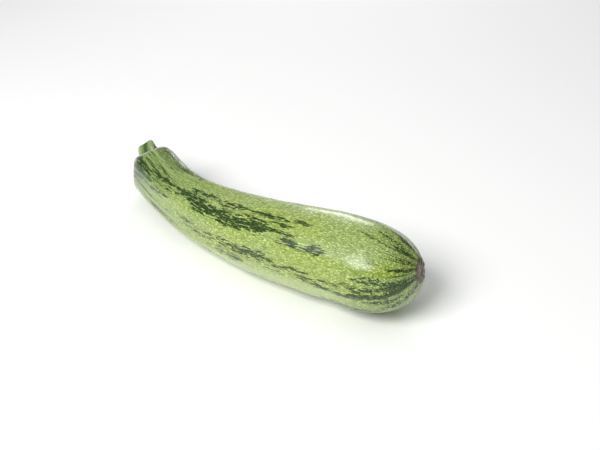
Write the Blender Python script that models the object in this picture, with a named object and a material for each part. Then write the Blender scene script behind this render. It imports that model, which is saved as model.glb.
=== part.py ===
"""A courgette as picked: one curved, club-shaped fruit with the cut, five-ridged stalk that it grew on.

Metres, +Z up. +X runs from the stalk to the blossom end and +Y to the inside of the bend. The origin is on
the surface that the fruit lies on, under the middle of the whole object's box.
"""

import math

import bmesh
import bpy
from mathutils import Vector, noise

MM = 0.001

# The fruit, along its centreline from the stalk's root (0) to the blossom scar
FRUIT_LENGTH = 188.6 * MM
NECK_RADIUS = 14.4 * MM
NECK_END = 28.4 * MM
BELLY_RADIUS = 20.55 * MM
BELLY_START = 154.5 * MM
DOME_START = 160.3 * MM
DOME_FULLNESS = 2.17

# Where the neck rounds over to the stalk's root
SHOULDER_LENGTH = 12.2 * MM
SHOULDER_FULLNESS = 2
ROOT_RADIUS = 7.4 * MM

# The stalk's root sits this far below the middle of the neck, which sinks to it over this length
ROOT_DROP = 2.35 * MM
DROP_LENGTH = 14 * MM

# The centreline's direction in plan: place along it, and degrees from +X towards +Y. Even turns between these
# make arcs.
HEADINGS = (
    (-22 * MM, -45.6),
    (0 * MM, -13.8),
    (20 * MM, -11.4),
    (80 * MM, 5.5),
    (140 * MM, 18),
    (195 * MM, -2),
)

# How it lies: the underside bows down very slightly, and is pressed flat in a small spot under the weight
REST_AT = 113 * MM
BOW_RADIUS = 2270 * MM
FLAT_DEPTH = 0.3 * MM

# Ribs of the skin: five carry on from the stalk's ridges, with a lesser one between each two
MAIN_RIBS = 5
RIB_TURN = math.radians(60)
RIB_TWIST = math.radians(14)
MAIN_RIB_AT_NECK = 0.75 * MM
MAIN_RIB_AT_BELLY = 0.16 * MM
LESSER_RIB = 0.13 * MM
PUCKER = 0.16 * MM
DENT = 0.25 * MM
DENT_SPACING = 22 * MM

# The blossom scar, a low corky ring round a dimple: shares of its radius, inwards, and its lift off the dome
SCAR_RADIUS = 5.2 * MM
SCAR_PROFILE = ((0.93, 0.18 * MM), (0.78, 0.2 * MM), (0.5, -0.1 * MM), (0.22, -0.45 * MM), (0, -0.5 * MM))

# It sits off the dome's middle, as shares of the dome's radius towards the inside of the bend and upwards. So
# it faces this far round from +X towards +Y, and this far up.
SCAR_OFFSET = (0.30, 0.21)
SCAR_FACING = (math.radians(22), math.radians(13))

# The stalk, from its root to a slanting cut
STALK_LENGTH = 14 * MM
STALK_WAIST_RADIUS = 4.8 * MM
STALK_END_RADIUS = 5.2 * MM
STALK_FLARE_LENGTH = 9.5 * MM
STALK_RISE = 1.25 * MM
RIDGE_AT_ROOT = 1.6 * MM
RIDGE_AT_END = 1.2 * MM
RIDGE_SHARPNESS = 1.6
CUT_SLANT = math.tan(math.radians(35))
CUT_SIDE = math.radians(35)
CUT_DISH = 0.7 * MM

# How finely the body is divided. The stalk's rings lie closer towards its root.
SIDES = 70
CUT_RINGS = (0.35, 0.7, 0.93)
STALK_RINGS = 11
STALK_RING_SPREAD = 0.8
SHOULDER_RINGS = 7
BODY_RINGS = 26
DOME_RINGS = 11

SHARP_ANGLE = math.radians(40)

SKIN_COLOUR = (0.36, 0.46, 0.13, 1)
SKIN_ROUGHNESS = 0.38


def smooth_step(value):
    """0 below 0, 1 above 1, and an even S between."""
    value = min(1, max(0, value))
    return value * value * (3 - 2 * value)


def mix(start, end, share):
    return start + (end - start) * share


def heading(along):
    """The centreline's direction in plan, in radians from +X towards +Y."""
    for (start, first), (end, last) in zip(HEADINGS, HEADINGS[1:]):
        if along <= end:
            break
    return math.radians(mix(first, last, (along - start) / (end - start)))


def plan_point(along):
    """The centreline's point in plan, stepped along its arcs in runs of about a millimetre."""
    runs = max(1, round(abs(along) / MM))
    point = Vector((0, 0, 0))
    for run in range(runs):
        turn = heading(along * (run + 0.5) / runs)
        point += Vector((math.cos(turn), math.sin(turn), 0)) * along / runs
    return point


def girth(along):
    """The fruit's radius between its ends, thin at the neck and full at the belly."""
    share = smooth_step((along - NECK_END) / (BELLY_START - NECK_END))
    return mix(NECK_RADIUS, BELLY_RADIUS, share)


def centre(along):
    """The centreline's point in space, held so that the underside nearly follows the surface it lies on."""
    point = plan_point(along)
    point.z = girth(along) - FLAT_DEPTH + (along - REST_AT) ** 2 / (2 * BOW_RADIUS)
    point.z -= ROOT_DROP * (1 - smooth_step(along / DROP_LENGTH))
    if along < 0:
        point.z += STALK_RISE * (along / STALK_LENGTH) ** 2
    return point


def section_point(along, radius, angle):
    """A point at this angle and radius round the centreline, in an upright section across it."""
    turn = heading(along)
    side = Vector((-math.sin(turn), math.cos(turn), 0))
    return centre(along) + side * radius * math.cos(angle) + Vector((0, 0, radius * math.sin(angle)))


def rib_wave(angle, along, count):
    """From -1 in a furrow to 1 on a rib, turning slowly along the fruit."""
    return math.cos(count * (angle - RIB_TURN - RIB_TWIST * along / FRUIT_LENGTH))


def stalk_ridges(angle, along, radius):
    """How far the stalk's five sharp ridges stand out. They die away over the fruit's shoulder."""
    crest = ((1 + rib_wave(angle, 0, MAIN_RIBS)) / 2) ** RIDGE_SHARPNESS
    height = mix(RIDGE_AT_ROOT, RIDGE_AT_END, min(1, max(0, -along / STALK_LENGTH)))
    fade = 1 - smooth_step(along / SHOULDER_LENGTH)
    return height * crest * fade * min(1, radius / STALK_WAIST_RADIUS)


def skin_relief(angle, along, radius):
    """How far the fruit's skin stands out from a smooth turned shape: ribs, a puckered end and soft dents."""
    share = smooth_step(along / BELLY_START)
    ribs = mix(MAIN_RIB_AT_NECK, MAIN_RIB_AT_BELLY, share) * rib_wave(angle, along, MAIN_RIBS)
    ribs += LESSER_RIB * rib_wave(angle, along, 2 * MAIN_RIBS)
    pucker = smooth_step((along - DOME_START) / (FRUIT_LENGTH - DOME_START))
    ribs += PUCKER * pucker * rib_wave(angle, along, 2 * MAIN_RIBS)
    place = section_point(along, radius, angle) / DENT_SPACING
    ends = smooth_step(along / SHOULDER_LENGTH) * smooth_step(radius / SCAR_RADIUS)
    return (ribs + DENT * noise.noise(place)) * ends


def dome_place(share):
    """Where along the centreline the dome has this share of its full radius."""
    reach = (1 - share**DOME_FULLNESS) ** (1 / DOME_FULLNESS)
    return mix(DOME_START, FRUIT_LENGTH, reach)


def slide_to_scar(along, radius, angle):
    """Moves a point of the dome over its surface, so that its rings close in on the scar."""
    if along <= DOME_START:
        return along, radius, angle
    share = radius / girth(along)
    scar_share = SCAR_RADIUS / BELLY_RADIUS
    shift = min(1, (1 - share) / (1 - scar_share))
    across = share * math.cos(angle) + shift * SCAR_OFFSET[0]
    up = share * math.sin(angle) + shift * SCAR_OFFSET[1]
    place = dome_place(math.hypot(across, up))
    return place, girth(place) * math.hypot(across, up), math.atan2(up, across)


def scar_facing():
    turn, rise = SCAR_FACING
    return Vector((math.cos(turn) * math.cos(rise), math.sin(turn) * math.cos(rise), math.sin(rise)))


def stalk_outline():
    """(place along, radius, lift) of each section, from the middle of the cut to near the root."""
    outline = [(CUT_DISH - STALK_LENGTH, 0, 0)]
    for share in CUT_RINGS:
        outline.append((CUT_DISH * (1 - share**2) - STALK_LENGTH, STALK_END_RADIUS * share, 0))
    for ring in range(STALK_RINGS):
        along = -STALK_LENGTH * (1 - (ring / STALK_RINGS) ** STALK_RING_SPREAD)
        flare = smooth_step(1 + along / STALK_FLARE_LENGTH)
        shaft = mix(STALK_WAIST_RADIUS, STALK_END_RADIUS, smooth_step(-along / STALK_LENGTH))
        outline.append((along, mix(shaft, ROOT_RADIUS, flare), 0))
    return outline


def fruit_outline():
    """(place along, radius, lift) of each section, from the root to the middle of the scar."""
    outline = []
    for ring in range(SHOULDER_RINGS):
        turn = math.pi / 2 * ring / SHOULDER_RINGS
        along = SHOULDER_LENGTH * (1 - math.cos(turn))
        rounding = math.sin(turn) ** (2 / SHOULDER_FULLNESS)
        outline.append((along, mix(ROOT_RADIUS, girth(along), rounding), 0))
    for ring in range(BODY_RINGS):
        along = mix(SHOULDER_LENGTH, DOME_START, ring / BODY_RINGS)
        outline.append((along, girth(along), 0))
    last_turn = math.acos((SCAR_RADIUS / BELLY_RADIUS) ** (DOME_FULLNESS / 2))
    for ring in range(DOME_RINGS + 1):
        share = math.cos(last_turn * ring / DOME_RINGS) ** (2 / DOME_FULLNESS)
        outline.append((dome_place(share), girth(dome_place(share)) * share, 0))
    for share, lift in SCAR_PROFILE:
        outline.append((dome_place(share * SCAR_RADIUS / BELLY_RADIUS), SCAR_RADIUS * share, lift))
    return outline


def skin_point(along, radius, lift, angle):
    """A point of the skin. None reaches below the surface that the fruit lies on, so it has a flat spot."""
    towards_cut = smooth_step(-along / STALK_LENGTH)
    slant = CUT_SLANT * radius * math.cos(angle - CUT_SIDE) * towards_cut
    relief = stalk_ridges(angle, along, radius) + skin_relief(angle, along, radius)
    place, reach, turn = slide_to_scar(along - slant, radius, angle)
    point = section_point(place, reach + relief, turn) + scar_facing() * lift
    point.z = max(0, point.z)
    return point


def paint(body):
    """Gives the body a plain material of the skin's colour."""
    material = bpy.data.materials.new("courgette_skin")
    material.use_nodes = True
    shader = material.node_tree.nodes["Principled BSDF"]
    shader.inputs["Base Color"].default_value = SKIN_COLOUR
    shader.inputs["Roughness"].default_value = SKIN_ROUGHNESS
    shader.inputs["Metallic"].default_value = 0
    material.diffuse_color = SKIN_COLOUR
    body.data.materials.append(material)


def sphere_to_body(outline):
    """Shapes a UV sphere into the body: each ring becomes one of its sections, and each pole an end."""
    last = len(outline) - 1
    sphere = bmesh.new()
    bmesh.ops.create_uvsphere(sphere, u_segments=SIDES, v_segments=last, radius=1)
    for vert in sphere.verts:
        ring = round(math.acos(min(1, max(-1, -vert.co.z))) / math.pi * last)
        vert.co = skin_point(*outline[ring], math.atan2(vert.co.y, vert.co.x))
    mesh = bpy.data.meshes.new("courgette")
    sphere.to_mesh(mesh)
    sphere.free()
    mesh.shade_smooth()
    mesh.set_sharp_from_angle(angle=SHARP_ANGLE)
    return bpy.data.objects.new("courgette", mesh)


def centre_on_origin(body):
    """Moves the body's points so that the middle of its box, in plan, is at the origin."""
    middle = Vector((0, 0, 0))
    for axis in (0, 1):
        places = [vert.co[axis] for vert in body.data.vertices]
        middle[axis] = (min(places) + max(places)) / 2
    for vert in body.data.vertices:
        vert.co -= middle


def build_courgette():
    for old in list(bpy.data.objects):
        bpy.data.objects.remove(old)
    collection = bpy.data.collections.new("courgette")
    bpy.context.scene.collection.children.link(collection)
    body = sphere_to_body(stalk_outline() + fruit_outline())
    collection.objects.link(body)
    paint(body)
    centre_on_origin(body)


build_courgette()
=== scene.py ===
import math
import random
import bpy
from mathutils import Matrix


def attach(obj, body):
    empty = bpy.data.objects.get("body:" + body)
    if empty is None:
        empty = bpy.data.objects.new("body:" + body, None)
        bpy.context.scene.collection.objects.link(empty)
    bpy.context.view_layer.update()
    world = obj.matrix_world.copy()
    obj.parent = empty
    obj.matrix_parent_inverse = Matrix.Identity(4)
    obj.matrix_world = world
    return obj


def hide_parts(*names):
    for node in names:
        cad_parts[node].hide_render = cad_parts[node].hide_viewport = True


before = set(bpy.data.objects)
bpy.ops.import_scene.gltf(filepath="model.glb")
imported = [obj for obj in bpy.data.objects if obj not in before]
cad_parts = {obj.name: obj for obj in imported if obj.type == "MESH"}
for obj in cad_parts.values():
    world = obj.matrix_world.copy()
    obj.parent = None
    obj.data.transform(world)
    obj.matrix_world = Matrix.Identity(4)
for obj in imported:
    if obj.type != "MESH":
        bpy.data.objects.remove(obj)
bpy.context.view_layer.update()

# A courgette as picked, lying on a pale surface: one curved, club-shaped fruit with the cut, five-ridged
# stalk that it grew on. Its skin is light green, closely flecked, with broken dark streaks along its ribs.

from types import SimpleNamespace

import bmesh
import bpy
import numpy as np
from mathutils import Matrix, Vector, noise

MM = 0.001

# The fruit, along its centreline from the stalk's root (0) to the blossom scar, as the solid has it
FRUIT_LENGTH = 188.6 * MM
NECK_RADIUS = 14.4 * MM
NECK_END = 28.4 * MM
BELLY_RADIUS = 20.55 * MM
BELLY_START = 154.5 * MM
DOME_START = 160.3 * MM
DOME_FULLNESS = 2.17
SHOULDER_LENGTH = 12.2 * MM
SHOULDER_FULLNESS = 2
ROOT_RADIUS = 7.4 * MM
ROOT_DROP = 2.35 * MM
DROP_LENGTH = 14 * MM
HEADINGS = (
    (-22 * MM, -45.6),
    (0 * MM, -13.8),
    (20 * MM, -11.4),
    (80 * MM, 5.5),
    (140 * MM, 18),
    (195 * MM, -2),
)
CENTRELINE_STEP = 0.25 * MM
REST_AT = 113 * MM
BOW_RADIUS = 2270 * MM
FLAT_DEPTH = 0.3 * MM

# Ribs and dents that the solid has too
MAIN_RIBS = 5
RIB_TURN = math.radians(60)
RIB_TWIST = math.radians(14)
MAIN_RIB_AT_NECK = 0.75 * MM
MAIN_RIB_AT_BELLY = 0.16 * MM
LESSER_RIB = 0.13 * MM
PUCKER = 0.16 * MM
DENT = 0.25 * MM
DENT_SPACING = 22 * MM

# Finer relief of the real skin
FINE_RIBS = 25
FINE_RIB = 0.10 * MM
FINE_RIB_END = 75 * MM
SMALL_DENT = 0.13 * MM
SMALL_DENT_SPACING = 7 * MM
PORE = 0.035 * MM
PORE_SPACING = 2.2 * MM

# The blossom scar, a low corky ring round a dimple: shares of its radius, outwards, and its lift off the
# dome. It sits off the dome's middle, as shares of the dome's radius towards the inside of the bend and
# upwards. Its lumps of cork end at a share of its radius, over a soft edge.
SCAR_RADIUS = 5.2 * MM
SCAR_SHARES = (0, 0.22, 0.5, 0.78, 0.93, 1)
SCAR_LIFTS = (-0.5 * MM, -0.45 * MM, -0.1 * MM, 0.2 * MM, 0.18 * MM, 0)
SCAR_OFFSET = (0.30, 0.21)
SCAR_FACING = (math.radians(22), math.radians(13))
CORK = 0.22 * MM
CORK_SPACING = 1.1 * MM
CORK_REACH = 1.2
CORK_EDGE = 0.5

# The stalk, from its root to a slanting cut
STALK_LENGTH = 14 * MM
STALK_WAIST_RADIUS = 4.8 * MM
STALK_END_RADIUS = 5.2 * MM
STALK_FLARE_LENGTH = 9.5 * MM
STALK_RISE = 1.25 * MM
RIDGE_AT_ROOT = 1.6 * MM
RIDGE_AT_END = 1.2 * MM
RIDGE_SHARPNESS = 1.6
CUT_SLANT = math.tan(math.radians(35))
CUT_SIDE = math.radians(35)
CUT_DISH = 0.7 * MM

# The stalk's fibres: their height, their length, and the radius of the ring of noise that they are cut from
FIBRE = 0.14 * MM
FIBRE_LENGTH = 6 * MM
FIBRE_RING = 11

# How finely the body is divided
SIDES = 240
CUT_RINGS = 14
STALK_RINGS = 44
SHOULDER_RINGS = 30
BODY_RINGS = 230
DOME_RINGS = 66
SCAR_RINGS = 14
SHARP_ANGLE = math.radians(38)


def smooth_step(value):
    """0 below 0, 1 above 1, and an even S between."""
    value = np.clip(value, 0, 1)
    return value * value * (3 - 2 * value)


def mix(start, end, share):
    """start where share is 0, end where it is 1."""
    return start + (end - start) * share


def direction(turn, rise):
    """The way that is turned this far from +X towards +Y and raised this far, both in radians."""
    return math.cos(turn) * math.cos(rise), math.sin(turn) * math.cos(rise), math.sin(rise)


def heading(along):
    """The centreline's direction in plan, in radians from +X towards +Y."""
    places, degrees = np.transpose(HEADINGS)
    return np.radians(np.interp(along, places, degrees))


def girth(along):
    """The fruit's radius between its ends, thin at the neck and full at the belly."""
    return mix(NECK_RADIUS, BELLY_RADIUS, smooth_step((along - NECK_END) / (BELLY_START - NECK_END)))


def centre(along):
    """The centreline's points: its directions summed in plan, at the height that the underside asks for."""
    steps = np.arange(HEADINGS[0][0], HEADINGS[-1][0] + CENTRELINE_STEP, CENTRELINE_STEP)
    turns = heading(steps + CENTRELINE_STEP / 2)
    plan = []
    for run in (np.cos(turns), np.sin(turns)):
        travelled = np.concatenate([[0], np.cumsum(run)[:-1]]) * CENTRELINE_STEP
        plan.append(np.interp(along, steps, travelled) - np.interp(0, steps, travelled))
    height = girth(along) - FLAT_DEPTH + (along - REST_AT) ** 2 / (2 * BOW_RADIUS)
    height = height - ROOT_DROP * (1 - smooth_step(along / DROP_LENGTH))
    height = height + np.where(along < 0, STALK_RISE * (along / STALK_LENGTH) ** 2, 0)
    return np.stack([plan[0], plan[1], height], -1)


def section_point(along, radius, angle):
    """Points at these angles and radii round the centreline, in upright sections across it."""
    turn = heading(along)
    out = radius * np.cos(angle)
    up = radius * np.sin(angle)
    return centre(along) + np.stack([-np.sin(turn) * out, np.cos(turn) * out, up], -1)


def bumps(points, spacing):
    """Soft noise, from about -1 to 1, at points in space."""
    return np.array([noise.noise(point) for point in (points / spacing).tolist()])


def rib_wave(angle, along, count):
    """From -1 in a furrow to 1 on a rib, turning slowly along the fruit."""
    return np.cos(count * (angle - RIB_TURN - RIB_TWIST * along / FRUIT_LENGTH))


def stalk_ridges(angle, along, radius):
    """How far the stalk's five sharp ridges stand out. They die away over the fruit's shoulder."""
    crest = ((1 + rib_wave(angle, 0, MAIN_RIBS)) / 2) ** RIDGE_SHARPNESS
    height = mix(RIDGE_AT_ROOT, RIDGE_AT_END, np.clip(-along / STALK_LENGTH, 0, 1))
    fade = 1 - smooth_step(along / SHOULDER_LENGTH)
    return height * crest * fade * np.minimum(1, radius / STALK_WAIST_RADIUS)


def stalk_fibres(angle, along, radius):
    """Fine uneven ridges that run down the stalk, fading over the shoulder and towards the cut's middle."""
    ring = np.stack([np.cos(angle) * FIBRE_RING, np.sin(angle) * FIBRE_RING, along / FIBRE_LENGTH], -1)
    fade = 1 - smooth_step(along / SHOULDER_LENGTH)
    return FIBRE * bumps(ring, 1) * fade * smooth_step(radius / STALK_END_RADIUS)


def skin_relief(angle, along, radius):
    """How far the fruit's skin stands out from a smooth turned shape: ribs, a puckered end and soft dents."""
    share = smooth_step(along / BELLY_START)
    ribs = mix(MAIN_RIB_AT_NECK, MAIN_RIB_AT_BELLY, share) * rib_wave(angle, along, MAIN_RIBS)
    ribs += LESSER_RIB * rib_wave(angle, along, 2 * MAIN_RIBS)
    ribs += FINE_RIB * (1 - smooth_step(along / FINE_RIB_END)) * rib_wave(angle, along, FINE_RIBS)
    pucker = smooth_step((along - DOME_START) / (FRUIT_LENGTH - DOME_START))
    ribs += PUCKER * pucker * rib_wave(angle, along, 2 * MAIN_RIBS)
    place = section_point(along, radius, angle)
    dents = DENT * bumps(place, DENT_SPACING) + SMALL_DENT * bumps(place, SMALL_DENT_SPACING)
    dents += PORE * bumps(place, PORE_SPACING)
    ends = smooth_step(along / SHOULDER_LENGTH) * smooth_step(radius / SCAR_RADIUS)
    return (ribs + dents) * ends


def scar_lift(along, radius, angle):
    """How far the scar stands off the dome: its low ring and dimple, and uneven lumps of cork."""
    share = np.minimum(1, radius / SCAR_RADIUS)
    place = section_point(along, radius, angle)
    inside = smooth_step((CORK_REACH - radius / SCAR_RADIUS) / CORK_EDGE)
    lift = np.interp(share, SCAR_SHARES, SCAR_LIFTS) + CORK * bumps(place, CORK_SPACING) * inside
    return np.outer(np.where(along > DOME_START, lift, 0), direction(*SCAR_FACING))


def dome_place(share):
    """Where along the centreline the dome has this share of its full radius."""
    reach = (1 - np.minimum(1, share) ** DOME_FULLNESS) ** (1 / DOME_FULLNESS)
    return mix(DOME_START, FRUIT_LENGTH, reach)


def slide_to_scar(along, radius, angle):
    """Moves the dome's points over its surface, so that its rings close in on the scar."""
    share = radius / girth(along)
    shift = np.minimum(1, (1 - share) / (1 - SCAR_RADIUS / BELLY_RADIUS))
    across = share * np.cos(angle) + shift * SCAR_OFFSET[0]
    up = share * np.sin(angle) + shift * SCAR_OFFSET[1]
    place = dome_place(np.hypot(across, up))
    dome = along > DOME_START
    slid = (place, girth(place) * np.hypot(across, up), np.arctan2(up, across))
    return [np.where(dome, new, old) for new, old in zip(slid, (along, radius, angle))]


def cut_and_stalk():
    """(place along the centreline, radius) of each section, from the middle of the cut to the root."""
    share = np.arange(CUT_RINGS) / CUT_RINGS
    cut = np.stack([CUT_DISH * (1 - share**2) - STALK_LENGTH, STALK_END_RADIUS * share], -1)
    along = -STALK_LENGTH * (1 - np.arange(STALK_RINGS) / STALK_RINGS)
    flare = smooth_step(1 + along / STALK_FLARE_LENGTH)
    shaft = mix(STALK_WAIST_RADIUS, STALK_END_RADIUS, smooth_step(-along / STALK_LENGTH))
    return np.concatenate([cut, np.stack([along, mix(shaft, ROOT_RADIUS, flare)], -1)])


def fruit():
    """(place along the centreline, radius) of each section, from the root to the middle of the scar."""
    turn = math.pi / 2 * np.arange(SHOULDER_RINGS) / SHOULDER_RINGS
    along = SHOULDER_LENGTH * (1 - np.cos(turn))
    shoulder = mix(ROOT_RADIUS, girth(along), np.sin(turn) ** (2 / SHOULDER_FULLNESS))
    sections = [np.stack([along, shoulder], -1)]
    along = mix(SHOULDER_LENGTH, DOME_START, np.arange(BODY_RINGS) / BODY_RINGS)
    sections.append(np.stack([along, girth(along)], -1))
    last_turn = math.acos((SCAR_RADIUS / BELLY_RADIUS) ** (DOME_FULLNESS / 2))
    share = np.cos(last_turn * np.arange(DOME_RINGS + 1) / DOME_RINGS) ** (2 / DOME_FULLNESS)
    sections.append(np.stack([dome_place(share), girth(dome_place(share)) * share], -1))
    radius = SCAR_RADIUS * (1 - np.arange(1, SCAR_RINGS + 1) / SCAR_RINGS)
    sections.append(np.stack([dome_place(radius / BELLY_RADIUS), radius], -1))
    return np.concatenate(sections)


def skin_points(along, radius, angle):
    """Points of the skin. None reaches below the surface that the fruit lies on, so it has a flat spot."""
    towards_cut = smooth_step(-along / STALK_LENGTH)
    slant = CUT_SLANT * radius * np.cos(angle - CUT_SIDE) * towards_cut
    relief = stalk_ridges(angle, along, radius) + skin_relief(angle, along, radius)
    relief += stalk_fibres(angle, along, radius)
    place, reach, turn = slide_to_scar(along - slant, radius, angle)
    points = section_point(place, reach + relief, turn) + scar_lift(along, radius, angle)
    points[:, 2] = np.maximum(0, points[:, 2])
    return points


def sphere_rings(mesh, last):
    """Each vertex's ring, counted from one pole, and its angle round the axis."""
    flat = np.zeros(len(mesh.vertices) * 3)
    mesh.vertices.foreach_get("co", flat)
    places = flat.reshape(-1, 3)
    rings = np.rint(np.arccos(np.clip(-places[:, 2], -1, 1)) / math.pi * last).astype(int)
    return rings, np.arctan2(places[:, 1], places[:, 0])


def keep_on_points(mesh, name, kind, values):
    """Stores one value or vector for each vertex, for the materials to read."""
    attribute = mesh.attributes.new(name, kind, "POINT")
    attribute.data.foreach_set("vector" if kind == "FLOAT_VECTOR" else "value", np.ravel(values))


def unwrap(mesh, rings, angles, last):
    """A map with the angle across and the sections up, cut open on one line along the body."""
    corners = np.zeros(len(mesh.loops), int)
    mesh.loops.foreach_get("vertex_index", corners)
    starts = np.zeros(len(mesh.polygons), int)
    mesh.polygons.foreach_get("loop_start", starts)
    face = np.repeat(np.arange(len(starts)), np.diff(np.append(starts, len(corners))))
    across = (angles[corners] / math.tau) % 1
    pole = (rings[corners] == 0) | (rings[corners] == last)
    furthest = np.maximum.reduceat(np.where(pole, 0, across), starts)[face]
    across = np.where((furthest - across > 0.5) & ~pole, across + 1, across)
    middle = np.add.reduceat(np.where(pole, 0, across), starts) / np.add.reduceat(1.0 * ~pole, starts)
    across = np.where(pole, middle[face], across)
    layer = mesh.uv_layers.new(name="OFBake")
    flat = np.stack([across / across.max(), rings[corners] / last], -1)
    layer.data.foreach_set("uv", flat.ravel())


def build_body():
    """The whole courgette in one skin, with what its material needs to know at each point."""
    outline = np.concatenate([cut_and_stalk(), fruit()])
    last = len(outline) - 1
    sphere = bmesh.new()
    bmesh.ops.create_uvsphere(sphere, u_segments=SIDES, v_segments=last, radius=1)
    mesh = bpy.data.meshes.new("courgette_body")
    sphere.to_mesh(mesh)
    sphere.free()
    rings, angles = sphere_rings(mesh, last)
    along, radius = outline[rings].T
    points = skin_points(along, radius, angles)
    low, high = points.min(0), points.max(0)
    points[:, :2] -= ((low + high) / 2)[:2]
    mesh.vertices.foreach_set("co", points.ravel())
    straight = np.stack([along, radius * np.cos(angles), radius * np.sin(angles)], -1)
    keep_on_points(mesh, "straight", "FLOAT_VECTOR", straight / MM)
    keep_on_points(mesh, "streak", "FLOAT", streak_depth(along, radius, angles))
    keep_on_points(mesh, "olive", "FLOAT", patch_depth(OLIVE_PATCHES, along, radius, angles))
    # The depth of painted shade on the neck and shoulder
    keep_on_points(mesh, "deep", "FLOAT", patch_depth(PAINTED_SHADE_PATCHES, along, radius, angles))
    # Where the low side carries a pale painted reflection
    keep_on_points(mesh, "pale", "FLOAT", pale_side(along, angles))
    unwrap(mesh, rings, angles, last)
    mesh.shade_smooth()
    mesh.set_sharp_from_angle(angle=SHARP_ANGLE)
    body = bpy.data.objects.new("courgette_body", mesh)
    bpy.context.scene.collection.objects.link(body)
    return body


# Dark streaks on the side that faces up: start and end along the fruit in mm, the angle round it at each end
# in degrees (90 is the top, 180 the outside of the bend), half the width in mm, and how dark and unbroken.
STREAKS = (
    (29, 61, 122, 116, 0.9, 1.0),
    (56, 75, 118, 117, 2.4, 0.9),
    (66, 95, 126, 128, 3.0, 0.95),
    (69, 80, 136, 137, 0.8, 0.8),
    (90, 120, 132, 127, 3.2, 0.95),
    (90, 101, 138, 138, 1.3, 0.9),
    (81, 94, 121, 120, 2.0, 0.7),
    (120, 131, 128, 130, 1.1, 0.9),
    (104, 113, 117, 118, 1.2, 0.85),
    (119, 127, 116, 118, 1.1, 0.85),
    (83, 94, 110, 113, 1.0, 0.6),
    (89, 102, 106, 106, 1.4, 0.8),
    (105, 125, 107, 109, 1.4, 0.85),
    (128, 136, 107, 110, 1.1, 0.8),
    (63, 71, 103, 104, 1.2, 0.65),
    (71, 85, 105, 104, 1.5, 0.65),
    (73, 79, 100, 100, 1.2, 0.6),
    (31, 56, 129, 128, 1.6, 0.55),
    (31, 48, 153, 144, 1.2, 0.6),
    (23, 33, 133, 128, 1.8, 0.45),
    (9, 20, 140, 136, 3.2, 1.0),
    (8, 16, 147, 154, 1.6, 0.55),
    (10, 15, 120, 127, 1.0, 0.6),
    (126, 133, 140, 137, 1.8, 0.9),
    (131, 145, 142, 143, 1.2, 0.8),
    (142, 148, 140, 139, 2.3, 0.95),
    (62, 71, 165, 165, 1.6, 0.5),
    (67, 86, 174, 174, 2.0, 0.45),
    (86, 105, 188, 188, 2.6, 0.6),
    (84, 101, 168, 167, 2.0, 0.55),
    (93, 109, 172, 172, 2.4, 0.55),
    (103, 122, 168, 170, 2.6, 0.75),
    (123, 131, 178, 174, 1.3, 0.7),
    (122, 128, 184, 185, 1.3, 0.5),
    (131, 142, 170, 172, 0.9, 0.6),
    (138, 149, 180, 186, 2.0, 0.6),
    (151, 164, 188, 187, 1.7, 0.65),
    (151, 159, 176, 176, 1.1, 0.6),
    (162, 169, 170, 170, 1.0, 0.75),
    (166, 177, 184, 182, 2.0, 1.1),
    (168, 176, 175, 171, 1.4, 0.75),
    (168, 185, 160, 162, 1.1, 0.75),
    (171, 177, 156, 155, 0.8, 0.6),
    (175, 182, 194, 198, 1.5, 0.8),
    (178, 186, 184, 177, 1.5, 1.2),
    (181, 186, 168, 163, 1.4, 1.1),
    (162, 175, 98, 101, 1.1, 0.55),
    (171, 182, 86, 88, 1.3, 0.6),
    (180, 187, 98, 98, 1.6, 0.85),
    (180, 186, 76, 76, 1.4, 0.7),
    (182, 187, 140, 138, 1.2, 0.7),
    (182, 187, 120, 119, 0.9, 0.6),
)

# Soft patches, written as the streaks are: olive near the scar, and deeper green painted as shade on the
# neck's inner top and at the shoulder beside the stalk
OLIVE_PATCHES = ((175, 183, 143, 140, 3.6, 1.0), (165, 176, 150, 148, 2.4, 0.5))
PAINTED_SHADE_PATCHES = ((7, 42, 69, 72, 5.2, 0.95), (7, 16, 146, 142, 3.0, 0.9), (10, 30, 96, 102, 1.6, 0.5))

# How far a streak or patch fades past its ends, in mm, the share of its width that it loses there, and how
# close to its ends it keeps its full width
END_FADE = 3
END_TAPER = 0.5
END_TAPER_POWER = 4

# The side turned down has streaks of the same kind, in bands along the ribs: the bands' angles in degrees,
# the ranges that a streak's start, length, gap, half width and depth are drawn from, and how far it strays
# from its band and drifts round the fruit
HIDDEN_BANDS = (-150, -118, -88, -57, -28, 2, 31, 58)
HIDDEN_START = (4, 25)
HIDDEN_RUN = (8, 34)
HIDDEN_GAP = (3, 22)
HIDDEN_WIDTH = (0.9, 2.8)
HIDDEN_DEPTH = (0.5, 1.0)
HIDDEN_WANDER = 6
HIDDEN_DRIFT = 4
HIDDEN_LAST_START = 182
HIDDEN_LAST_END = 189
STREAK_SEED = 4

# The pale low side, a painted reflection of the bright surroundings, in degrees round the fruit: where it
# starts, where it is full, where it has ended, over how much it ends, and how much lower it starts at the
# neck
PALE_FROM = 176
PALE_TO = 200
PALE_END = 330
PALE_END_FADE = 60
PALE_LOWER_AT_NECK = 20


def patch_depth(patches, along, radius, angles):
    """How deep inside these long patches each point is, from 0 outside to the patch's own depth."""
    place = along / MM
    depth = np.zeros(len(along))
    for start, end, first, last, width, strength in patches:
        share = np.clip((place - start) / (end - start), 0, 1)
        turned = np.degrees(angles) - mix(first, last, share)
        across = radius / MM * np.radians((turned + 180) % 360 - 180)
        beyond = np.maximum(np.maximum(start - place, place - end), 0)
        tapered = width * (1 - END_TAPER * (2 * share - 1) ** END_TAPER_POWER)
        inside = np.exp(-((across / tapered) ** 2) - (beyond / END_FADE) ** 2)
        depth = np.maximum(depth, strength * inside)
    return depth


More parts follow.
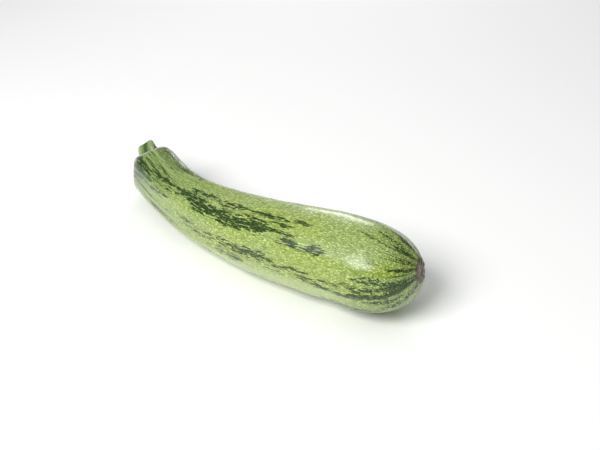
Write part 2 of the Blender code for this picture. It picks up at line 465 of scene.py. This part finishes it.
def hidden_streaks():
    """Streaks for the side turned down: broken runs along each band, drawn from a fixed seed."""
    draw = random.Random(STREAK_SEED)
    streaks = []
    for band in HIDDEN_BANDS:
        start = draw.uniform(*HIDDEN_START)
        while start < HIDDEN_LAST_START:
            end = min(HIDDEN_LAST_END, start + draw.uniform(*HIDDEN_RUN))
            first = band + draw.uniform(-HIDDEN_WANDER, HIDDEN_WANDER)
            width = draw.uniform(*HIDDEN_WIDTH)
            streaks.append((start, end, first, first + HIDDEN_DRIFT, width, draw.uniform(*HIDDEN_DEPTH)))
            start = end + draw.uniform(*HIDDEN_GAP)
    return streaks


def streak_depth(along, radius, angles):
    """How deep inside a dark streak each point is, on both sides of the fruit."""
    return patch_depth(list(STREAKS) + hidden_streaks(), along, radius, angles)


def pale_side(along, angles):
    """1 along the low outer side, where a pale painted reflection lies, and 0 elsewhere."""
    turned = np.degrees(angles) % 360 - PALE_LOWER_AT_NECK * (1 - smooth_step(along / BELLY_START))
    low = smooth_step((turned - PALE_FROM) / (PALE_TO - PALE_FROM))
    return low * smooth_step((PALE_END - turned) / PALE_END_FADE)


def srgb(red, green, blue):
    """A colour as a picture shows it, from 0 to 255, made linear for a shader."""
    linear = []
    for value in (red, green, blue):
        share = value / 255
        linear.append(share / 12.92 if share <= 0.04045 else ((share + 0.055) / 1.055) ** 2.4)
    return (*linear, 1)


YELLOW_GREEN = srgb(144, 162, 74)
SOFT_GREEN = srgb(138, 158, 92)
# Mid green also lays painted shade over the dome
MID_GREEN = srgb(98, 126, 44)
# Grey green is the neck's own tone, and also painted shade on the low side near the scar
GREY_GREEN = srgb(112, 136, 76)
DARK_GREEN = srgb(26, 56, 8)
# The dark marks as seen through the painted reflection on the low side
REFLECTED_DARK_GREEN = srgb(62, 86, 52)
FLECK_GREEN = srgb(206, 220, 138)
# Painted reflection of the bright surroundings on the low side
PAINTED_REFLECTION_GREEN = srgb(174, 190, 140)
PALE_LINE_GREEN = srgb(168, 190, 118)
OLIVE = srgb(120, 139, 32)
# Painted shade on the neck's inner top and at the shoulder
PAINTED_SHADE_GREEN = srgb(70, 92, 36)
STALK_GREEN = srgb(122, 148, 84)
STALK_GROOVE = srgb(66, 88, 40)
STALK_RIDGE = srgb(158, 180, 118)
CUT_PITH = srgb(196, 198, 146)
CUT_RIM = srgb(130, 140, 84)
# The scar's own brown cork, darkened as painted shade where the scar turns from the light
CORK_TAN = srgb(114, 96, 68)
CORK_BROWN = srgb(62, 47, 34)

# What build_body paints on the body's points, besides their places
PAINTED = ("streak", "olive", "deep", "pale")

# Grains of the skin: the length and width of their marks in mm, their detail, and a shift that sets them
# apart
GRAINS = {
    "coarse": (6.5, 0.8, 3, 0),
    "fine": (3.2, 0.42, 2, 7),
    "cloud": (30, 12, 2, 3),
    "mottle": (3.2, 1.1, 3, 11),
    "dash": (2.8, 0.55, 2, 15),
    "cork": (0.9, 0.9, 3, 2),
}

# Lines along the ribs: how many fit round the fruit, their length in mm, and a shift. Noise on a circle of
# radius 1 shows about four of them.
LINES = {
    "rib_lines": (26, 45, 0),
    "end_rays": (44, 60, 9),
    "fibre": (60, 9, 5),
}
LINES_AT_RADIUS_1 = 4

# The noise that grains and lines are made of, and the middle of its values
GRAIN_ROUGHNESS = 0.55
LINE_NOISE = {"Scale": 1, "Detail": 2, "Roughness": 0.6}
NOISE_MIDDLE = 0.5

# Flecks: their length and width in mm, and how much of its room each fills
FLECKS = {
    "fleck": (2.1, 0.62, 0.40),
    "speck": (1.3, 0.5, 0.42),
}
SPECK_SHARE = 0.8

# How far a fleck's outline is bent by a grain, how soft its edge is, and how its strength varies
FLECK_GRAIN = {"Length": 1.5, "Width": 0.8, "Detail": 1}
FLECK_BEND = 0.5
FLECK_EDGE = (-0.12, 0.16)
FLECK_STRENGTH = (0.1, 0.9, 0.15, 1)

# The torn depths that a ragged mark's edge runs over, and the painted depths over which it comes in
RAGGED_EDGE = (0.38, 0.54)
RAGGED_START = (0.02, 0.25)

# How much the grains tear each kind of mark
STREAK_TEAR = 2.7
LINE_TEAR = 1.7
SHADE_PATCH_TEAR = 0.7
OLIVE_TEAR = 0.8

# Ramps, each as the two values it runs between and what it gives at them. Those named for a place run along
# the fruit, in mm from the stalk's root.
CLOUD_RAMP = (0.35, 0.65, 0, 1)
MOTTLE_RAMP = (0.44, 0.68, 0, 0.6)
DASH_RAMP = (0.52, 0.66, 0, 0.7)
NECK_PLACE = (90, 20, 0, 1)
# The dome's darkening towards mid green is painted shade
DOME_PLACE = (145, 182, 0, 0.5)
# Where the painted reflection on the low side comes in at the neck and fades at the dome
PALE_AT_NECK_PLACE = (30, 90, 0.2, 0.8)
PALE_AT_DOME_PLACE = (150, 178, 1, 0.4)
# Painted shade greying the low side near the scar
GREY_SHADE_AT_DOME_PLACE = (150, 178, 0, 0.6)
PALE_LINE_RAMP = (0.48, 0.36, 0, 0.45)
NECK_LINES_PLACE = (90, 10, 0, 0.85)
NECK_LINES_RAMP = (0.48, 0.58, 0, 1)
END_LINES_PLACE = (162, 184, 0, 0.8)
END_LINES_RAMP = (0.49, 0.57, 0, 1)
END_LINES_ON_PALE = (0.2, 1, 1, 0.2)
END_LINES_ON_OLIVE = (0.1, 0.8, 1, 0.2)
FLECKS_ON_DARK = (0, 1, 1, 0.15)
FLECKS_PLACE = (20, 95, 0.35, 0.85)
GROOVE_RAMP = (-1, 0.1, 0, 1)
RIDGE_RAMP = (0.2, 1, 0, 0.8)
FIBRE_RAMP = (0.5, 0.7, 0, 0.5)
STALK_EDGE_PLACE = (6.5, 2, 0, 1)
CORK_RAMP = (0.38, 0.62, 0, 1)
SCAR_EDGE = (7.2, 5.8, 0, 1)
SKIN_ROUGHNESS = (0.3, 0.7, 0.30, 0.42)

# How much of its colour each layer lays on
NECK_GREY_SHARE = 0.75
SHADE_PATCH_SHARE = 0.72
OLIVE_SHARE = 0.8
LINE_SHARE = 0.85

# How far fibres carry the stalk's colour onto the shoulder, and cork grain breaks the scar's edge, in mm
FIBRE_REACH = 7
CORK_BREAK = 2.4

# The cut face and the scar lie beyond these places, in mm. The cut's pith and its rim reach these shares of
# its radius.
CUT_PLACE = -12.5
SCAR_PLACE = 180
PITH_SHARE = 0.45
RIM_SHARE = 0.99

# The finish: how much rougher stalk and scar are, the coat of natural wax, and the height of the fine relief
DULLER = 0.3
COAT_WEIGHT = 0.75
COAT_ROUGHNESS = 0.25
REFRACTIVE_INDEX = 1.45
SPECULAR_LEVEL = 0.2
FINE_HEIGHT = 0.5
FLECK_HEIGHT = 0.6
FIBRE_HEIGHT = 2
BUMP_STRENGTH = 0.5
BUMP_HEIGHT = 0.12 * MM


def node(tree, kind, settings=None, **inputs):
    """A new shader node, with these settings, and each named input given a value or linked to a socket."""
    made = tree.nodes.new(kind)
    for name, value in (settings or {}).items():
        setattr(made, name, value)
    for name, value in inputs.items():
        join(tree, value, made.inputs[name.replace("_", " ")])
    return made


def join(tree, value, socket):
    """Links a socket to this one, or gives it a plain value."""
    if isinstance(value, bpy.types.NodeSocket):
        tree.links.new(value, socket)
    else:
        socket.default_value = value


def operation_node(tree, kind, operation, values):
    """The result of one operation on these values, each of them a number, a vector or a socket."""
    made = node(tree, kind, {"operation": operation})
    for value, socket in zip(values, made.inputs):
        join(tree, value, socket)
    return made.outputs[0]


def math_node(tree, operation, *values):
    return operation_node(tree, "ShaderNodeMath", operation, values)


def vector_node(tree, operation, *values):
    return operation_node(tree, "ShaderNodeVectorMath", operation, values)


def product(tree, first, second):
    return math_node(tree, "MULTIPLY", first, second)


def blend(tree, share, under, over):
    """One colour laid over another, as much as share says."""
    made = tree.nodes.new("ShaderNodeMix")
    made.data_type = "RGBA"
    # The node's two colour sockets come after those for numbers and vectors
    for value, socket in ((share, 0), (under, 6), (over, 7)):
        join(tree, value, made.inputs[socket])
    return made.outputs[2]


def ramp(tree, value, start, end, low=0, high=1):
    """low where the value is below start, high above end, and an even S between. start may be above end."""
    made = node(tree, "ShaderNodeMapRange", {"interpolation_type": "SMOOTHSTEP"})
    if start > end:
        start, end, low, high = end, start, high, low
    for number, socket in zip((value, start, end, low, high), made.inputs):
        join(tree, number, socket)
    return made.outputs[0]


def group(name, inputs, outputs):
    """An empty node group with these sockets: {name: (kind, default)} in, {name: kind} out."""
    tree = bpy.data.node_groups.new(name, "ShaderNodeTree")
    for label, (kind, default) in inputs.items():
        socket = tree.interface.new_socket(label, in_out="INPUT", socket_type=kind)
        if default is not None:
            socket.default_value = default
    for label, kind in outputs.items():
        tree.interface.new_socket(label, in_out="OUTPUT", socket_type=kind)
    return tree, tree.nodes.new("NodeGroupInput").outputs, tree.nodes.new("NodeGroupOutput").inputs


def use(tree, made, **inputs):
    """A group placed in a material, with its own values."""
    placed = tree.nodes.new("ShaderNodeGroup")
    placed.node_tree = made
    for name, value in inputs.items():
        join(tree, value, placed.inputs[name])
    return placed.outputs


def make_grain():
    """Noise drawn out along the fruit. Length and Width are the size of its marks in mm."""
    tree, given, result = group(
        "Grain along the fruit",
        {
            "Place": ("NodeSocketVector", None),
            "Length": ("NodeSocketFloat", 8.0),
            "Width": ("NodeSocketFloat", 1.5),
            "Detail": ("NodeSocketFloat", 2.0),
            "Shift": ("NodeSocketFloat", 0.0),
        },
        {"Value": "NodeSocketFloat"},
    )
    size = node(tree, "ShaderNodeCombineXYZ", X=given["Length"], Y=given["Width"], Z=given["Width"])
    place = vector_node(tree, "DIVIDE", given["Place"], size.outputs[0])
    shifted = vector_node(tree, "ADD", place, given["Shift"])
    texture = node(tree, "ShaderNodeTexNoise", Vector=shifted, Scale=1, Detail=given["Detail"])
    texture.inputs["Roughness"].default_value = GRAIN_ROUGHNESS
    join(tree, texture.outputs["Fac"], result["Value"])
    return tree


def make_lines():
    """Lines that follow the ribs and run together at both ends. Count is how many fit round the fruit."""
    tree, given, result = group(
        "Lines along the ribs",
        {
            "Place": ("NodeSocketVector", None),
            "Count": ("NodeSocketFloat", 12.0),
            "Length": ("NodeSocketFloat", 30.0),
            "Shift": ("NodeSocketFloat", 0.0),
        },
        {"Value": "NodeSocketFloat"},
    )
    parts = node(tree, "ShaderNodeSeparateXYZ", Vector=given["Place"])
    round_only = node(tree, "ShaderNodeCombineXYZ", X=0.0, Y=parts.outputs[1], Z=parts.outputs[2])
    unit = vector_node(tree, "NORMALIZE", round_only.outputs[0])
    spread = math_node(tree, "DIVIDE", given["Count"], LINES_AT_RADIUS_1)
    wide = node(tree, "ShaderNodeVectorMath", {"operation": "SCALE"}, Vector=unit, Scale=spread)
    lengthwise = math_node(tree, "DIVIDE", parts.outputs[0], given["Length"])
    forward = node(tree, "ShaderNodeCombineXYZ", X=lengthwise, Y=0.0, Z=0.0)
    place = vector_node(tree, "ADD", wide.outputs[0], forward.outputs[0])
    shifted = vector_node(tree, "ADD", place, given["Shift"])
    texture = node(tree, "ShaderNodeTexNoise", Vector=shifted, **LINE_NOISE)
    join(tree, texture.outputs["Fac"], result["Value"])
    return tree


def make_flecks(grain):
    """Small pale flecks drawn out along the fruit, each of its own strength. Length and Width in mm."""
    tree, given, result = group(
        "Flecks",
        {
            "Place": ("NodeSocketVector", None),
            "Length": ("NodeSocketFloat", 2.4),
            "Width": ("NodeSocketFloat", 1.4),
            "Size": ("NodeSocketFloat", 0.5),
        },
        {"Mask": "NodeSocketFloat"},
    )
    size = node(tree, "ShaderNodeCombineXYZ", X=given["Length"], Y=given["Width"], Z=given["Width"])
    place = vector_node(tree, "DIVIDE", given["Place"], size.outputs[0])
    rough = use(tree, grain, Place=given["Place"], **FLECK_GRAIN)["Value"]
    bent = vector_node(tree, "ADD", place, product(tree, rough, FLECK_BEND))
    cells = node(tree, "ShaderNodeTexVoronoi", {"feature": "F1"}, Vector=bent, Scale=1, Randomness=1)
    edge = math_node(tree, "SUBTRACT", given["Size"], cells.outputs["Distance"])
    spot = ramp(tree, edge, *FLECK_EDGE)
    chance = node(tree, "ShaderNodeSeparateColor", Color=cells.outputs["Color"])
    strength = ramp(tree, chance.outputs[0], *FLECK_STRENGTH)
    join(tree, product(tree, spot, strength), result["Mask"])
    return tree


def make_ragged():
    """A soft depth torn into ragged marks by two grains: 0 outside, 1 inside."""
    tree, given, result = group(
        "Ragged marks",
        {
            "Depth": ("NodeSocketFloat", 0.0),
            "Coarse": ("NodeSocketFloat", 0.5),
            "Fine": ("NodeSocketFloat", 0.5),
            "Tear": ("NodeSocketFloat", 1.0),
        },
        {"Mask": "NodeSocketFloat"},
    )
    coarse = math_node(tree, "SUBTRACT", given["Coarse"], NOISE_MIDDLE)
    fine = math_node(tree, "SUBTRACT", given["Fine"], NOISE_MIDDLE)
    both = math_node(tree, "ADD", fine, coarse)
    torn = math_node(tree, "MULTIPLY_ADD", both, given["Tear"], given["Depth"])
    inside = ramp(tree, torn, *RAGGED_EDGE)
    present = ramp(tree, given["Depth"], *RAGGED_START)
    join(tree, product(tree, inside, present), result["Mask"])
    return tree


def painted(tree, name):
    """What build_body stored on the body's points under this name."""
    settings = {"attribute_type": "GEOMETRY", "attribute_name": name}
    return node(tree, "ShaderNodeAttribute", settings).outputs


def read_skin(tree):
    """The place of each point of the skin as if the fruit were straight, in mm, and what is painted there."""
    skin = SimpleNamespace(place=painted(tree, "straight")["Vector"])
    parts = node(tree, "ShaderNodeSeparateXYZ", Vector=skin.place).outputs
    skin.along = parts[0]
    skin.angle = math_node(tree, "ARCTAN2", parts[2], parts[1])
    outwards = node(tree, "ShaderNodeCombineXYZ", X=0.0, Y=parts[1], Z=parts[2]).outputs[0]
    length = node(tree, "ShaderNodeVectorMath", {"operation": "LENGTH"}, Vector=outwards)
    skin.radius = length.outputs["Value"]
    for name in PAINTED:
        setattr(skin, name, painted(tree, name)["Fac"])
    return skin


def add_patterns(tree, skin):
    """The grains, lines and flecks that the skin is made from."""
    grain = make_grain()
    for name, (length, width, detail, shift) in GRAINS.items():
        sizes = {"Length": length, "Width": width, "Detail": detail, "Shift": shift}
        setattr(skin, name, use(tree, grain, Place=skin.place, **sizes)["Value"])
    lines = make_lines()
    for name, (count, length, shift) in LINES.items():
        made = use(tree, lines, Place=skin.place, Count=count, Length=length, Shift=shift)
        setattr(skin, name, made["Value"])
    flecks = make_flecks(grain)
    for name, (length, width, size) in FLECKS.items():
        made = use(tree, flecks, Place=skin.place, Length=length, Width=width, Size=size)
        setattr(skin, name, made["Mask"])
    skin.all_flecks = math_node(tree, "MAXIMUM", skin.fleck, product(tree, skin.speck, SPECK_SHARE))
    skin.ragged = make_ragged()


def add_masks(tree, skin):
    """How much each point belongs to the neck, the painted reflection on the low side, the stalk and the
    blossom scar.
    """
    skin.neck = ramp(tree, skin.along, *NECK_PLACE)
    pale_share = product(tree, skin.pale, ramp(tree, skin.along, *PALE_AT_NECK_PLACE))
    skin.pale_share = product(tree, pale_share, ramp(tree, skin.along, *PALE_AT_DOME_PLACE))
    stalk_reach = math_node(tree, "MULTIPLY_ADD", skin.fibre, FIBRE_REACH, skin.along)
    skin.stalk = ramp(tree, stalk_reach, *STALK_EDGE_PLACE)
    scar_reach = math_node(tree, "MULTIPLY_ADD", skin.cork, CORK_BREAK, skin.radius)
    at_end = math_node(tree, "GREATER_THAN", skin.along, SCAR_PLACE)
    skin.scar = product(tree, ramp(tree, scar_reach, *SCAR_EDGE), at_end)


def torn(tree, skin, depth, tear):
    """A soft depth torn into ragged marks by the skin's grains."""
    return use(tree, skin.ragged, Depth=depth, Coarse=skin.coarse, Fine=skin.fine, Tear=tear)["Mask"]


def ground_colour(tree, skin):
    """The fruit's green, mottled and dashed, greyer at the neck, and darkened towards the dome as painted
    shade.
    """
    colour = blend(tree, ramp(tree, skin.cloud, *CLOUD_RAMP), YELLOW_GREEN, SOFT_GREEN)
    colour = blend(tree, ramp(tree, skin.mottle, *MOTTLE_RAMP), colour, MID_GREEN)
    colour = blend(tree, ramp(tree, skin.dash, *DASH_RAMP), colour, MID_GREEN)
    colour = blend(tree, product(tree, skin.neck, NECK_GREY_SHARE), colour, GREY_GREEN)
    # Painted shade: the dome darkens towards mid green
    return blend(tree, ramp(tree, skin.along, *DOME_PLACE), colour, MID_GREEN)


def add_reflection_shade_and_lines(tree, skin, colour):
    """A pale painted reflection on the low side, painted shade greying it near the scar, and the pale lines
    of the neck.
    """
    colour = blend(tree, skin.pale_share, colour, PAINTED_REFLECTION_GREEN)
    # Painted shade: the low side greys towards the scar
    dome_shade_share = product(tree, skin.pale, ramp(tree, skin.along, *GREY_SHADE_AT_DOME_PLACE))
    colour = blend(tree, dome_shade_share, colour, GREY_GREEN)
    line_share = product(tree, skin.neck, ramp(tree, skin.rib_lines, *PALE_LINE_RAMP))
    return blend(tree, line_share, colour, PALE_LINE_GREEN)


def add_patches(tree, skin, colour):
    """Painted shade in deeper green patches on the neck and shoulder, and the olive patches near the scar."""
    deep = product(tree, torn(tree, skin, skin.deep, SHADE_PATCH_TEAR), SHADE_PATCH_SHARE)
    colour = blend(tree, deep, colour, PAINTED_SHADE_GREEN)
    olive = product(tree, torn(tree, skin, skin.olive, OLIVE_TEAR), OLIVE_SHARE)
    return blend(tree, olive, colour, OLIVE)


def dark_marks(tree, skin):
    """The broken streaks, and the dark lines that run together at the neck and round the scar."""
    neck_lines = ramp(tree, skin.along, *NECK_LINES_PLACE)
    neck_lines = product(tree, neck_lines, ramp(tree, skin.rib_lines, *NECK_LINES_RAMP))
    end_lines = ramp(tree, skin.along, *END_LINES_PLACE)
    end_lines = product(tree, end_lines, ramp(tree, skin.end_rays, *END_LINES_RAMP))
    end_lines = product(tree, end_lines, ramp(tree, skin.pale, *END_LINES_ON_PALE))
    end_lines = product(tree, end_lines, ramp(tree, skin.olive, *END_LINES_ON_OLIVE))
    lines = torn(tree, skin, math_node(tree, "MAXIMUM", neck_lines, end_lines), LINE_TEAR)
    streaks = torn(tree, skin, skin.streak, STREAK_TEAR)
    return math_node(tree, "MAXIMUM", streaks, product(tree, lines, LINE_SHARE))


def add_dark_marks(tree, skin, colour, dark):
    """Dark green on the marks, bluer where they cross the painted reflection on the low side."""
    dark_colour = blend(tree, skin.pale_share, DARK_GREEN, REFLECTED_DARK_GREEN)
    return blend(tree, dark, colour, dark_colour)


def add_flecks(tree, skin, colour, dark):
    """Pale flecks over all of it, fainter in the dark marks and on the neck."""
    share = ramp(tree, dark, *FLECKS_ON_DARK)
    share = product(tree, share, ramp(tree, skin.along, *FLECKS_PLACE))
    return blend(tree, product(tree, skin.all_flecks, share), colour, FLECK_GREEN)


def add_stalk(tree, skin, colour):
    """The stalk's pale ridges, dark grooves and fibres."""
    turned = math_node(tree, "SUBTRACT", skin.angle, RIB_TURN)
    wave = math_node(tree, "COSINE", product(tree, turned, MAIN_RIBS))
    stalk = blend(tree, ramp(tree, wave, *GROOVE_RAMP), STALK_GROOVE, STALK_GREEN)
    stalk = blend(tree, ramp(tree, wave, *RIDGE_RAMP), stalk, STALK_RIDGE)
    stalk = blend(tree, ramp(tree, skin.fibre, *FIBRE_RAMP), stalk, STALK_GROOVE)
    return blend(tree, skin.stalk, colour, stalk)


def add_cut(tree, skin, colour):
    """The cut face: pale pith inside a greener rim."""
    rim = STALK_END_RADIUS / MM
    inside = math_node(tree, "LESS_THAN", skin.radius, rim * RIM_SHARE)
    face = product(tree, inside, math_node(tree, "LESS_THAN", skin.along, CUT_PLACE))
    cut = blend(tree, ramp(tree, skin.radius, rim * PITH_SHARE, rim), CUT_PITH, CUT_RIM)
    return blend(tree, face, colour, cut)


def add_scar(tree, skin, colour):
    """The blossom scar's brown and tan cork, darkened as painted shade."""
    cork = blend(tree, ramp(tree, skin.cork, *CORK_RAMP), CORK_BROWN, CORK_TAN)
    return blend(tree, skin.scar, colour, cork)


def set_finish(tree, skin, shader):
    """Waxy skin, duller stalk and scar, and the fine relief of grain, flecks and fibres."""
    not_skin = math_node(tree, "MAXIMUM", skin.scar, skin.stalk)
    gloss = ramp(tree, skin.mottle, *SKIN_ROUGHNESS)
    join(tree, math_node(tree, "MULTIPLY_ADD", not_skin, DULLER, gloss), shader.inputs["Roughness"])
    flecks = product(tree, skin.all_flecks, FLECK_HEIGHT)
    height = math_node(tree, "MULTIPLY_ADD", skin.fine, FINE_HEIGHT, flecks)
    fibres = product(tree, skin.fibre, not_skin)
    height = math_node(tree, "MULTIPLY_ADD", fibres, FIBRE_HEIGHT, height)
    bump = node(tree, "ShaderNodeBump", Strength=BUMP_STRENGTH, Distance=BUMP_HEIGHT, Height=height)
    join(tree, bump.outputs[0], shader.inputs["Normal"])
    shader.inputs["Coat Weight"].default_value = COAT_WEIGHT
    shader.inputs["Coat Roughness"].default_value = COAT_ROUGHNESS
    shader.inputs["IOR"].default_value = REFRACTIVE_INDEX
    shader.inputs["Specular IOR Level"].default_value = SPECULAR_LEVEL


def courgette_material():
    """The whole courgette: flecked and streaked skin, the ridged stalk with its cut, and the corky scar."""
    material = bpy.data.materials.new("courgette_skin")
    material.use_nodes = True
    tree = material.node_tree
    shader = tree.nodes["Principled BSDF"]
    skin = read_skin(tree)
    add_patterns(tree, skin)
    add_masks(tree, skin)
    dark = dark_marks(tree, skin)
    colour = ground_colour(tree, skin)
    colour = add_reflection_shade_and_lines(tree, skin, colour)
    colour = add_patches(tree, skin, colour)
    colour = add_dark_marks(tree, skin, colour, dark)
    colour = add_flecks(tree, skin, colour, dark)
    colour = add_stalk(tree, skin, colour)
    colour = add_cut(tree, skin, colour)
    colour = add_scar(tree, skin, colour)
    join(tree, colour, shader.inputs["Base Color"])
    set_finish(tree, skin, shader)
    return material


# The camera, as worked out from the photograph's own straight lines
CAMERA_PLACE = Vector((0.26297, -0.18916, 0.23500))
CAMERA_AIM = Vector((0.02727, 0.00871, 0.02))
CAMERA_ROLL = math.radians(-4.7)
CAMERA_LENS = 46.16
CAMERA_NEAR = 0.01
SENSOR_WIDTH = 36

# Softboxes: how far they are turned from +X and raised, in degrees, their distance, width and depth in
# metres, and their watts
SOFTBOXES = (
    ("front_softbox", -85, 49, 0.93, 0.54, 0.48, 8.2),
    ("back_softbox", 131, 22, 0.9, 0.2, 0.24, 1.5),
    ("top_softbox", 60, 82, 1.1, 1.1, 1.1, 2.8),
)
SKY_COLOUR = (0.94, 0.97, 1, 1)
SKY_STRENGTH = 0.24
FLOOR_SIZE = 6
FLOOR_COLOUR = srgb(250, 250, 248)
FLOOR_ROUGHNESS = 0.9


def look(thing, aim, roll=0.0):
    """Turns a camera or a lamp to face a point, then rolls it about that line."""
    turn = (aim - thing.location).to_track_quat("-Z", "Y").to_matrix().to_4x4()
    thing.rotation_euler = (turn @ Matrix.Rotation(roll, 4, "Z")).to_euler()


def set_camera():
    """The camera, where the photograph was taken from."""
    data = bpy.data.cameras.new("camera")
    data.sensor_width = SENSOR_WIDTH
    data.lens = CAMERA_LENS
    data.clip_start = CAMERA_NEAR
    camera = bpy.data.objects.new("camera", data)
    bpy.context.scene.collection.objects.link(camera)
    camera.location = CAMERA_PLACE
    look(camera, CAMERA_AIM, CAMERA_ROLL)
    bpy.context.scene.camera = camera


def set_lights():
    """Three softboxes and a dim, even sky."""
    for name, turn, rise, distance, width, depth, watts in SOFTBOXES:
        data = bpy.data.lights.new(name, "AREA")
        data.shape = "RECTANGLE"
        data.size = width
        data.size_y = depth
        data.energy = watts
        lamp = bpy.data.objects.new(name, data)
        bpy.context.scene.collection.objects.link(lamp)
        lamp.location = Vector(direction(math.radians(turn), math.radians(rise))) * distance
        look(lamp, Vector((0, 0, 0)))
    world = bpy.data.worlds.new("studio")
    world.use_nodes = True
    world.node_tree.nodes["Background"].inputs["Color"].default_value = SKY_COLOUR
    world.node_tree.nodes["Background"].inputs["Strength"].default_value = SKY_STRENGTH
    bpy.context.scene.world = world


def set_floor():
    """The plain pale surface that the courgette lies on."""
    sheet = bmesh.new()
    bmesh.ops.create_grid(sheet, x_segments=1, y_segments=1, size=FLOOR_SIZE / 2)
    mesh = bpy.data.meshes.new("floor")
    sheet.to_mesh(mesh)
    sheet.free()
    material = bpy.data.materials.new("floor_paper")
    material.use_nodes = True
    shader = material.node_tree.nodes["Principled BSDF"]
    shader.inputs["Base Color"].default_value = FLOOR_COLOUR
    shader.inputs["Roughness"].default_value = FLOOR_ROUGHNESS
    mesh.materials.append(material)
    floor = bpy.data.objects.new("floor", mesh)
    bpy.context.scene.collection.objects.link(floor)


set_camera()
set_lights()
set_floor()
courgette = build_body()
courgette.data.materials.append(courgette_material())
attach(courgette, "root")
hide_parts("courgette")
bpy.context.scene.view_settings.view_transform = "Standard"
